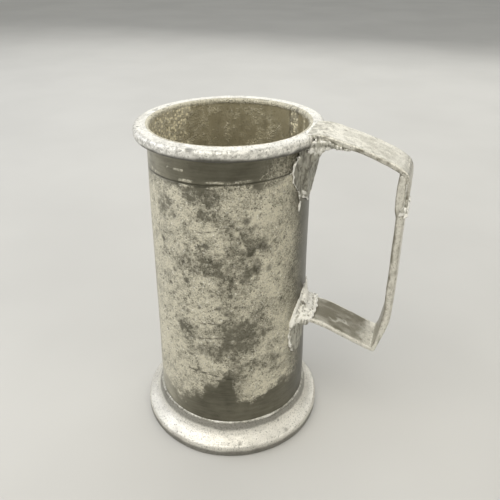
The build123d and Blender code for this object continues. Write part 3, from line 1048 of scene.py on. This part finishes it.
class RunSeams(bpy.types.Operator):
    """Build the solder seams on the foot and under the floor"""

    bl_idname = "measure.run_seams"
    bl_label = "Seams"

    def execute(self, context):
        sizes, _ = settings()
        solder = crusted_solder("tin_solder_seam")
        low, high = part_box("foot_seam_solder")
        outer, bottom = high.x / MM, low.z / MM
        corners = ((-1.6, -0.4), (-0.1, 0.0), (-0.3, 0.6), (-1.1, 1.0))
        bead = [(outer + out, bottom + up) for out, up in corners]

        def relief(points, normals):
            wave = 0.1 * lumps(points, 7.0, 81, 3)
            return wave * MM, {"crest": 0.25 + 2.5 * wave}

        placed(turned("foot_seam", bead, BEAD_STEP, relief), "foot_seam_solder", solder)
        low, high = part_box("floor_seam_solder")
        outer, bottom, top = high.x / MM, low.z / MM, high.z / MM
        fillet = [(outer, bottom), (outer, top), (outer - 2.0, top), (outer - 0.9, top - 0.9)]
        placed(turned("bottom_seam", fillet, sizes.fine_step, relief), "floor_seam_solder", solder)
        return {"FINISHED"}


# Stations of the handle's bars in millimetres: outer reach and height, inner reach and height,
# half width and edge round.

UPPER_BAR = [
    (46.0, 194.6, 46.3, 191.2, 12.6, 1.0),
    (51.7, 195.0, 51.4, 191.6, 12.5, 1.0),
    (57.0, 194.3, 56.3, 191.0, 12.4, 1.0),
    (62.5, 192.9, 61.6, 189.8, 12.4, 1.0),
    (73.3, 189.9, 72.2, 187.1, 12.4, 1.0),
    (81.0, 187.2, 79.8, 184.6, 12.5, 1.0),
    (88.0, 184.5, 86.7, 181.9, 12.5, 1.0),
    (93.0, 181.9, 91.4, 179.5, 12.5, 1.0),
    (95.9, 179.3, 93.9, 178.0, 12.5, 0.8),
    (97.3, 176.3, 95.5, 175.9, 12.5, 0.7),
    (97.9, 171.5, 96.1, 171.3, 12.4, 0.7),
    (98.0, 165.0, 96.3, 165.0, 12.2, 0.6),
    (97.9, 160.0, 96.5, 160.0, 11.6, 0.5),
    (97.6, 157.6, 96.7, 157.6, 10.2, 0.4),
]
GRIP_BAR = [
    (95.6, 180.2, 91.8, 177.6, 12.3, 1.0),
    (95.9, 172.0, 91.5, 171.3, 12.4, 1.1),
    (96.1, 161.0, 91.9, 161.0, 12.5, 1.1),
    (96.6, 157.8, 92.5, 157.6, 12.5, 1.2),
    (97.3, 154.5, 93.0, 154.2, 12.5, 1.8),
    (97.5, 145.0, 93.2, 144.7, 12.5, 2.0),
    (97.6, 135.0, 93.2, 134.4, 12.5, 2.0),
    (98.0, 122.0, 93.4, 121.5, 12.5, 2.0),
    (98.1, 111.0, 93.4, 110.6, 12.5, 2.0),
    (98.3, 100.0, 93.8, 99.3, 12.5, 2.0),
    (98.0, 93.3, 93.4, 92.4, 12.5, 1.9),
    (96.8, 86.2, 92.7, 85.5, 12.5, 1.5),
    (94.8, 78.8, 91.7, 78.6, 12.5, 1.0),
    (92.8, 72.2, 90.7, 74.0, 12.5, 0.9),
    (91.7, 69.3, 89.9, 72.2, 12.5, 0.9),
    (90.2, 69.0, 88.8, 71.9, 12.5, 0.9),
    (83.8, 70.9, 83.2, 73.9, 12.5, 1.0),
    (71.6, 75.3, 72.3, 78.0, 12.5, 1.0),
    (59.3, 79.7, 60.1, 82.4, 12.5, 1.0),
    (50.0, 81.3, 50.5, 84.0, 12.5, 1.0),
    (44.0, 82.1, 44.4, 84.8, 12.5, 1.0),
]


def bar_relief(seed, dirt_and_shade_of):
    """Relief of a hammered bar: slow waves, cast grain, nicks and a few deep pits."""

    def relief(points, normals):
        sizes, _ = settings()
        waves = lumps(points, 9.0, seed, 3)
        grain = lumps(points, 2.0, seed + 1, 2)
        pits = dimples(points, 4.0, 1.1, 0.35, seed + 2)
        shift = sizes.bar_wave * (0.75 * waves + 0.35 * grain) - 0.3 * MM * pits
        tone = np.clip(0.12 * waves + 0.3 * grain - 0.9 * pits, -1, 1)
        return shift, {"relief": tone, "dirt": dirt_and_shade_of(points, normals)}

    return relief


class BendUpperStrap(bpy.types.Operator):
    """Build the upper strap from the lip over the shoulder to the lap"""

    bl_idname = "measure.bend_upper_strap"
    bl_label = "Upper strap"

    def execute(self, context):
        sizes, colours = settings()

        def dirt_and_shade_of(points, normals):
            # Faces turned down are painted darker, painted shade.
            under = ramp(-normals[:, 2], 0.3, 0.9)
            pitted = 0.15 + 0.8 * lumps(points, 2.2, 113, 3)
            side = ramp(np.abs(normals[:, 1]), 0.7, 0.98) * np.clip(pitted, 0, 1)
            along = points * np.array((0.35, 1.0, 1.0))
            reach, off = points[:, 0] / MM, np.abs(points[:, 1] / MM + 1.5)
            middle = window(reach, 58, 66, 86, 93) * (1 - ramp(off, 6.5, 10.5))
            middle = middle * (0.5 + 0.5 * lumps(along, 3.0, 114, 3))
            root = (1 - ramp(reach, 53, 61)) * np.clip(0.15 + 0.9 * lumps(points, 1.9, 115, 3), 0, 0.6)
            return most(0.6 * under, side, 0.45 * middle, root)

        obj = bar("upper_strap", UPPER_BAR, sizes.fine_step, bar_relief(110, dirt_and_shade_of))
        metal = handled_pewter("pewter_strap_rubbed", colours.bar, colours.bar_dirt_and_shade, 0.32, 0.92)
        placed(obj, "handle_upper_strap", metal)
        return {"FINISHED"}


class BendGrip(bpy.types.Operator):
    """Build the grip and the lower arm that it turns into"""

    bl_idname = "measure.bend_grip"
    bl_label = "Grip"

    def execute(self, context):
        sizes, colours = settings()

        def dirt_and_shade_of(points, normals):
            reach, across = points[:, 0] / MM, points[:, 1] / MM
            # Brown lies along the lower arm's top, but not on its worn edges nor on a scuff in its middle.
            arm_top = ramp(4.0 * lumps(points, 5.0, 138, 2) - reach, -87, -77) * ramp(normals[:, 2], 0.5, 0.9)
            worn = ramp(np.abs(across) + 0.4 * lumps(points, 4.0, 133, 3), 10.9, 11.7)
            streaks = lumps(points * np.array((0.4, 1.0, 1.0)), 2.5, 136, 3)
            arm_top = arm_top * (0.82 + 0.25 * lumps(points, 11.0, 134, 3) + 0.2 * streaks) * (1 - worn)
            scuff = np.abs(across + 3.0 - 3.0 * lumps(points, 6.0, 137, 2)) / 0.6
            ends = 3 * ramp(np.abs(reach - 69), 5, 10)
            arm_top = arm_top * (0.5 + 0.5 * ramp(scuff + ends, 0.5, 1.3))
            # The grip's near edge is pitted, and it is painted darker where it turns towards the drum and a
            # little grey on its back, both painted shade.
            drawn = points * np.array((1.0, 1.0, 0.22))
            pitted = 0.8 * lumps(drawn, 1.2, 135, 2) + 0.5 * ramp(-normals[:, 0], 0.15, 0.6) - 0.25
            back_shade = 0.2 * ramp(normals[:, 0], 0.2, 0.7)
            side = ramp(-normals[:, 1], 0.1, 0.6) * np.clip(most(pitted, back_shade), 0, 0.8) * ramp(reach, 80, 90)
            # Its inner face by the wall and every face turned down are painted darker, painted shade.
            inside = 0.5 * ramp(-normals[:, 0], 0.55, 0.9) * ramp(reach, 88, 91)
            return most(arm_top, side, inside, 0.8 * ramp(-normals[:, 2], 0.3, 0.9))

        obj = bar("grip_and_lower_arm", GRIP_BAR, sizes.fine_step, bar_relief(130, dirt_and_shade_of))
        metal = handled_pewter("pewter_grip_rubbed", colours.bar, colours.bar_dirt_and_shade, 0.32, 0.45)
        placed(obj, "handle_grip_strap", metal)
        return {"FINISHED"}


def wall_radius(height_mm):
    """Outside radius of the drum's cone at a height, in millimetres."""
    share = (height_mm - FOOT_TOP) / (LIP_BOTTOM - FOOT_TOP)
    return SOCKET_RADIUS + (LIP_SEAT_RADIUS - SOCKET_RADIUS) * share


def vein(places, out_mm=0.15):
    """Chain of beads on the drum through (azimuth, height, radius) places."""
    chain = []
    for azimuth, height, radius in places:
        reach = wall_radius(height) + out_mm
        chain.append((reach * cos(radians(azimuth)), reach * sin(radians(azimuth)), height, radius))
    return chain


# Distance between the rows of beads in a web, in millimetres.
WEB_ROWS = 1.2


def web(edge, right, radius_mm, out_mm):
    """Level chains of beads that fill the wall from an edge of (height, azimuth) places to the right."""
    heights, azimuths = zip(*edge)
    rows = []
    for height in np.arange(heights[0], heights[-1], WEB_ROWS):
        left = np.interp(height, heights, azimuths)
        rows.append(vein([(place, height, radius_mm) for place in np.linspace(left, right, 8)], out_mm))
    return rows


def beside(points, chains):
    """1 on the beads of the chains, falling to 0 beyond twice their radius."""
    near = np.zeros(len(points))
    for first, second in links_of(chains):
        for share in (0, 0.33, 0.67, 1):
            place = first + (second - first) * share
            away = np.linalg.norm(points / MM - place[:3], axis=1) / place[3]
            near = np.maximum(near, 1 - ramp(away, 0.9, 2.2))
    return near


def crust_relief(seed, wrinkle_mm, chains, pale_above_mm, pale):
    """Relief of crusted solder: sharp-backed folds that run downwards, painted paler above a height by pale
    and darker where pale is below 0, as painted light and shade.
    """

    def relief(points, normals):
        sizes, _ = settings()
        drawn = points * np.array((1.0, 1.0, 0.4))
        folds = 1 - 2 * np.abs(lumps(drawn, wrinkle_mm, seed, 2))
        thin = 1 - 2 * np.abs(lumps(drawn, 0.55 * wrinkle_mm, seed + 3, 1))
        balls = dimples(points, 3.4, 1.1, 0.35, seed + 5)
        rise = 0.6 * folds + 0.35 * thin + 0.5 * balls - 0.5
        smear = 1 - beside(points, chains)
        base = pale * ramp(points[:, 2] / MM, pale_above_mm - 2, pale_above_mm + 2) - 0.15
        crest = base + 0.9 * (1 - smear) + 0.7 * rise
        return sizes.crust_height * rise * (1 - 0.4 * smear), {"crest": crest}

    return relief


# Veins of solder on the wall under the upper arm, as azimuth, height and radius, and the left edge of
# the thin web between them, as height and azimuth.

UPPER_VEINS = [
    [(-3, 185, 0.9), (-8, 184.5, 0.8), (-15, 184.3, 0.6), (-20, 181.7, 0.5)],
    [(-20, 181.7, 0.5), (-24, 179, 0.55), (-25, 176.5, 0.9)],
    [(-25, 176.5, 0.8), (-23.9, 173.5, 0.5), (-24.2, 170.5, 0.8), (-21, 167, 0.45)],
    [(-21, 167, 0.45), (-17, 163, 0.5), (-15.5, 158, 0.45)],
    [(-15, 183.3, 0.55), (-15.8, 178, 0.5), (-17.5, 174.5, 0.5)],
    [(-25, 176.5, 0.5), (-28.5, 175.6, 0.35), (-32, 174.6, 0.3)],
    [(-22.5, 180.5, 0.45), (-26.5, 179, 0.32), (-30, 176.8, 0.3)],
    [(-18, 182.8, 0.45), (-22.5, 183.2, 0.32), (-27, 181.5, 0.3)],
    [(-15.8, 178, 0.5), (-13.5, 175, 0.45), (-12, 172.6, 1.0)],
    [(-15.8, 178, 0.6), (-9.7, 177.2, 0.7), (-3, 178.5, 0.8), (3, 181.5, 0.9)],
    [(-10.7, 159, 0.7), (-6, 157.5, 0.5), (-1.6, 154.8, 0.7)],
    [(-15, 157, 0.9), (-16.2, 154.6, 0.8), (-16.4, 152.5, 0.6)],
    [(-12, 162.5, 0.5), (-9, 160.5, 0.8), (-4.5, 159, 0.5)],
    [(4, 185, 1.0), (11, 183, 0.8), (18, 180, 0.8), (21, 175, 0.9)],
    [(21, 175, 0.9), (18, 169, 0.7), (19, 164, 0.7), (14, 160, 0.7)],
    [(12, 183, 0.7), (10, 176, 0.8), (4, 172, 0.9), (6, 165, 0.7), (3, 158, 0.8)],
]
UPPER_WEB = [
    (160, -14),
    (163.6, -16),
    (167.4, -20),
    (171, -23),
    (177, -24),
    (180, -22.5),
    (182.5, -17),
    (184, -10),
]
# Beads round the near edge of the upper arm's root, as x, y, z and radius in millimetres.
ROOT_BEADS = [
    [(50.5, -12.4, 188.0, 1.6), (54, -12.9, 190.0, 1.3), (58, -12.9, 190.4, 1.1), (63, -12.7, 189.2, 0.8)],
    [(48.5, -15.2, 189.5, 1.0), (49.8, -14, 190.6, 1.3), (51.5, -13.2, 191.5, 1.2), (57, -12.8, 191.6, 0.9)],
    [(47.8, -14.8, 186.5, 1.1), (49.5, -13.6, 187.5, 1.4), (51.5, -12.9, 188.6, 1.4)],
    [(47.6, -14.6, 193.7, 0.7), (50.0, -13.2, 193.9, 0.9), (53.5, -12.7, 193.7, 0.7)],
    [(46.4, -15.6, 194.3, 0.6), (49.0, -13.4, 194.4, 0.7), (52.6, -12.6, 194.2, 0.5)],
    [(49.8, -15, 191, 0.8), (51, -13.4, 191.9, 0.8), (54.5, -12.8, 192.2, 0.6), (60, -12.6, 190.6, 0.5)],
]
# Sides of the arm between which its underside is filled, in millimetres.
ARM_SIDES = (-12, 13)


class RunRimSolder(bpy.types.Operator):
    """Build the solder under the upper arm and its runs down the wall"""

    bl_idname = "measure.run_rim_solder"
    bl_label = "Upper joint solder"

    def execute(self, context):
        chains = [vein(places, 0.45) for places in UPPER_VEINS]
        for side in range(*ARM_SIDES, 3):
            waver = 0.6 * sin(side * 1.7)
            chains.append(
                [
                    (52.5, side, 186.8 + 0.6 * waver, 1.9),
                    (57.0, side, 189.3, 1.6),
                    (61.5, side, 189.0 - waver * 0.4, 1.2),
                    (66.5, side * 0.9, 188.1, 0.8),
                ]
            )
        chains += ROOT_BEADS
        fill = web(UPPER_WEB, 20, 0.9, -0.5)
        for side in range(*ARM_SIDES, 2):
            root = [(47.0, side * 0.8, 175, 1.5), (49.2, side * 0.9, 180.5, 1.9), (52.5, side, 186.0, 1.9)]
            fill.append(root)
        # Above 185 mm the solder is painted darker, painted shade under the lip.
        relief = crust_relief(150, 2.0, chains, 185.0, -0.35)
        obj = melted("rim_solder", "rim_joint_solder", chains + fill, 2, relief)
        placed(obj, "rim_joint_solder", crusted_solder("tin_solder_upper"))
        return {"FINISHED"}


# The same at the lower joint, with the places along the hem of its collar as x, y and z, and its spike
# as x, y, z and radius.

LOWER_VEINS = [
    [(-3, 97, 0.7), (-8, 95, 0.8), (-13, 92, 0.9), (-18, 87.5, 1.0), (-22.5, 82, 0.9)],
    [(-22.5, 82, 0.9), (-23.5, 76, 0.6), (-23.9, 73, 0.9), (-23.6, 70, 0.6)],
    [(-23.6, 70, 0.6), (-23.4, 67, 0.9), (-22.4, 64, 0.6), (-20.5, 61.5, 0.9), (-17.5, 60.2, 0.6)],
    [(-2, 97, 0.8), (-7, 92, 0.8), (-12, 87, 0.9), (-17, 83, 1.0)],
    [(0, 97, 0.8), (-3, 91, 0.9), (-7, 85, 1.0)],
    [(8, 96, 0.8), (14, 91, 1.0), (17, 86, 1.1), (15, 80, 1.0), (9, 74, 0.9)],
]
COLLAR_HEM = [
    (45.4, -14.2, 80.0),
    (46.6, -14.2, 82.4),
    (48.2, -13.9, 84.2),
    (50.2, -13.5, 84.6),
    (52.2, -13.0, 84.4),
    (54.0, -12.2, 84.2),
    (54.6, -9.5, 84.4),
    (54.0, -7.0, 84.7),
    (54.8, -4.5, 84.6),
    (53.8, -2.0, 84.9),
    (54.6, 0.5, 84.6),
    (53.6, 3.0, 84.8),
    (53.9, 6.0, 84.6),
    (52.3, 9.0, 84.7),
    (49.8, 12.2, 84.8),
]
# Place under the spike that the collar's strings run from, and how far along each one sags, as x, y, z.
STRINGS_FROM = (47.6, -1.5, 94.5)
STRINGS_SAG = (0.3, 0.42, 0.62)
SPIKE = [(48.2, -1.2, 93.0, 1.8), (47.9, -1.5, 97.0, 1.2), (47.6, -1.5, 101.0, 0.8), (47.4, -1.5, 105.6, 0.5)]
LOWER_WEB = [(79, -20), (82, -21), (87.5, -17), (92, -12), (95, -6)]
TONGUE_WEB = [(61.5, -19), (66, -21.5), (72, -22), (79, -22), (84, -19)]


class RunWallSolder(bpy.types.Operator):
    """Build the crusted collar, its spike and its run at the lower joint"""

    bl_idname = "measure.run_wall_solder"
    bl_label = "Lower joint solder"

    def execute(self, context):
        chains = [vein(places) for places in LOWER_VEINS]
        chains.append(SPIKE)
        ring = []
        for end in COLLAR_HEM:
            start = (STRINGS_FROM[0] + 0.1, STRINGS_FROM[1] + 0.05 * end[1], STRINGS_FROM[2])
            sag = [a + share * (b - a) for a, b, share in zip(STRINGS_FROM, end, STRINGS_SAG)]
            ring.append((sag[0] - 0.3, sag[1], sag[2] - 0.5, 1.0))
            chains.append([(*start, 0.8), (*sag, 0.7), (*end, 0.6)])
        chains += [[(*first, 0.7), (*second, 0.7)] for first, second in zip(COLLAR_HEM, COLLAR_HEM[1:])]
        fill = [
            [(47.9, -2.5, 93.0, 1.0), (47.4, -8.0, 88.5, 1.5), (46.9, -12.3, 84.0, 1.6)],
            [(48.0, -3.0, 91.3, 1.2), (48.8, -8.0, 87.0, 1.5), (49.0, -11.8, 84.0, 1.6)],
            [(48.4, -3.0, 90.0, 1.6), (48.6, -6.0, 88.6, 1.7), (49.6, -8.0, 86.6, 1.6)],
            [(reach - 0.8, side, height - 0.7, 0.9) for reach, side, height in COLLAR_HEM],
            ring,
        ]
        for side in range(*ARM_SIDES, 2):
            root = [(47.0, side * 0.8, 79.6, 1.3), (50.0, side * 0.95, 80.9, 1.3), (53.0, side, 82.0, 1.1)]
            fill.append(root)
        fill += web(LOWER_WEB, 16, 1.1, 0.0) + web(TONGUE_WEB, -12, 1.6, 0.5)
        # Above 80 mm the solder is painted paler and below it darker: painted light on top, painted shade
        # under the arm.
        relief = crust_relief(170, 1.8, chains, 80.0, 0.65)
        obj = melted("wall_solder", "body_joint_solder", chains + fill, 2, relief)
        placed(obj, "body_joint_solder", crusted_solder("tin_solder_lower"))
        return {"FINISHED"}


# Beads on both edges of the lap as x, y, z and radius, and the fill of its gap as x, z and radius.

LAP_BEADS = [
    [(97.2, -12.2, 162.0, 0.4), (96.7, -12.4, 160.0, 0.7), (95.8, -12.4, 158.4, 1.0)],
    [(95.8, -12.4, 158.4, 1.0), (94.6, -12.3, 157.4, 0.8)],
    [(97.6, -11.9, 157.9, 0.7), (97.0, -12.3, 156.4, 0.6)],
    [(97.4, 12.2, 163.5, 0.8), (96.6, 12.4, 160.0, 1.3), (95.6, 12.4, 157.4, 1.3)],
]
LAP_GAP = [(96.0, 159.0, 0.7), (96.2, 167.0, 0.6), (96.2, 174.5, 0.6)]


class DropLapSolder(bpy.types.Operator):
    """Build the lumps of solder where the upper strap ends on the grip"""

    bl_idname = "measure.drop_lap_solder"
    bl_label = "Lap solder"

    def execute(self, context):
        sides = range(-11, 12, 2)
        across = [(97.6, y, 157.8 + 0.7 * sin(y * 1.3), 0.9 + 0.3 * sin(y * 2.1)) for y in sides]
        chains = [across, *LAP_BEADS]
        gap = [[(x, side, z, radius) for x, z, radius in LAP_GAP] for side in (-12.0, 12.0)]
        relief = crust_relief(190, 2.2, chains, 150.0, 0.35)
        obj = melted("lap_solder", "grip_lap_solder", chains + gap, 3, relief)
        placed(obj, "grip_lap_solder", crusted_solder("tin_solder_lap"))
        return {"FINISHED"}


# Camera of the photograph, in the measure's frame: place in metres, angles in degrees, and focal
# length and sensor width in millimetres.

CAMERA_PLACE = (0.0996, -0.2782, 0.2804)
CAMERA_PITCH = 29.37
CAMERA_HEADING = -17.51
CAMERA_ROLL = 0.42
CAMERA_LENS = 40.32
CAMERA_SENSOR = 36.0
# Nearest and farthest distance that the camera shows, in metres.
CAMERA_CLIP = (0.01, 30.0)

STUDIO_WALLS = "#8f8e88"
STUDIO_CEILING = "#f2f3f0"
STUDIO_STRENGTH = 0.62
# Place that the light panels face, in metres.
LIT_PLACE = Vector((0, 0, 0.1))
# Each light panel's name, place, width and height in metres, power in watts and tint.
PANELS = [
    ("overhead_panel", (-0.12, -0.8, 1.05), 1.4, 1.0, 9.5, "#fffaee"),
    ("window_panel", (-1.2, -0.3, 0.75), 1.6, 1.0, 9.0, "#f4f7ff"),
    ("side_panel", (1.2, -0.2, 0.75), 1.4, 1.0, 5.0, "#fffaf0"),
    ("back_panel", (-0.05, 1.2, 0.78), 2.0, 0.9, 8.5, "#fbfaf6"),
]
# Half width of the board, in metres, so that its edge is never seen.
BOARD_REACH = 9.0


class SetStage(bpy.types.Operator):
    """Lay the floor, hang the lights and set the camera where the photograph was taken"""

    bl_idname = "measure.set_stage"
    bl_label = "Stage"

    def execute(self, context):
        self.lay_floor()
        self.hang_lights(context)
        self.set_camera(context)
        return {"FINISHED"}

    def lay_floor(self):
        """Lay the board that the measure stands on."""
        signs = ((-1, -1, 0), (1, -1, 0), (1, 1, 0), (-1, 1, 0))
        board = shown("floor_board", BOARD_REACH * np.array(signs), [(0, 1, 2, 3)])
        board.data.materials.append(matt_board("matt_painted_board"))

    def hang_lights(self, context):
        """Make the studio round the measure and hang its light panels."""
        world = bpy.data.worlds.new("studio")
        context.scene.world = world
        world.use_nodes = True
        tree = world.node_tree
        # Dark walls under a pale ceiling give rounded metal its dark and bright bands.
        up = add(tree, "SeparateXYZ", (add(tree, "TexCoord", out="Generated"),), out="Z")
        up = add(tree, "MapRange", (up, 0.2, 0.6), **SMOOTH)
        tone = add(tree, "MixRGB", (up, rgba(linear(STUDIO_WALLS)), rgba(linear(STUDIO_CEILING))))
        feed(tree, tree.nodes["Background"], {"Color": tone, "Strength": STUDIO_STRENGTH})
        context.scene.view_settings.view_transform = "Standard"
        for name, place, wide, tall, power, tint in PANELS:
            light = bpy.data.lights.new(name, "AREA")
            light.shape, light.size, light.size_y = "RECTANGLE", wide, tall
            light.energy, light.color = power, linear(tint)
            holder = bpy.data.objects.new(name, light)
            holder.location = place
            holder.rotation_mode = "QUATERNION"
            holder.rotation_quaternion = (LIT_PLACE - Vector(place)).to_track_quat("-Z", "Y")
            context.collection.objects.link(holder)

    def set_camera(self, context):
        """Set the camera where the photograph was taken."""
        pitch, heading, roll = radians(CAMERA_PITCH), radians(CAMERA_HEADING), radians(CAMERA_ROLL)
        ahead = Vector((sin(heading) * cos(pitch), cos(heading) * cos(pitch), -sin(pitch)))
        level = Vector((cos(heading), -sin(heading), 0))
        up = level.cross(ahead)
        right = cos(roll) * level + sin(roll) * up
        top = cos(roll) * up - sin(roll) * level
        lens = bpy.data.cameras.new("photo_camera")
        lens.lens, lens.sensor_width = CAMERA_LENS, CAMERA_SENSOR
        lens.clip_start, lens.clip_end = CAMERA_CLIP
        camera = bpy.data.objects.new("photo_camera", lens)
        turn = Matrix((right, top, -ahead)).transposed()
        camera.matrix_world = Matrix.Translation(CAMERA_PLACE) @ turn.to_4x4()
        context.collection.objects.link(camera)
        context.scene.camera = camera


OPERATORS = (
    SetStage,
    TurnDrum,
    TurnLip,
    TurnFoot,
    LayFloor,
    RunSeams,
    BendUpperStrap,
    BendGrip,
    RunRimSolder,
    RunWallSolder,
    DropLapSolder,
)


class MeasurePanel(bpy.types.Panel):
    """Sizes, colours and steps of the pewter measure"""

    bl_idname = "VIEW3D_PT_measure"
    bl_label = "Pewter measure"
    bl_space_type = "VIEW_3D"
    bl_region_type = "UI"
    bl_category = "Measure"

    def draw(self, context):
        layout = self.layout
        for group in (context.scene.measure_sizes, context.scene.measure_colours):
            column = layout.column()
            for name in group.__annotations__:
                column.prop(group, name)
        for step in OPERATORS:
            layout.operator(step.bl_idname)


CLASSES = (MeasureSizes, MeasureColours, *OPERATORS, MeasurePanel)


def register():
    """Make the classes and the scene's sizes and colours known to Blender."""
    for kind in CLASSES:
        bpy.utils.register_class(kind)
    bpy.types.Scene.measure_sizes = PointerProperty(type=MeasureSizes)
    bpy.types.Scene.measure_colours = PointerProperty(type=MeasureColours)


def unregister():
    """Take them out of Blender again."""
    del bpy.types.Scene.measure_colours
    del bpy.types.Scene.measure_sizes
    for kind in reversed(CLASSES):
        bpy.utils.unregister_class(kind)


def main():
    """Register the add-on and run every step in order."""
    register()
    for step in OPERATORS:
        getattr(bpy.ops.measure, step.bl_idname.split(".")[1])()


if __name__ == "__main__":
    main()
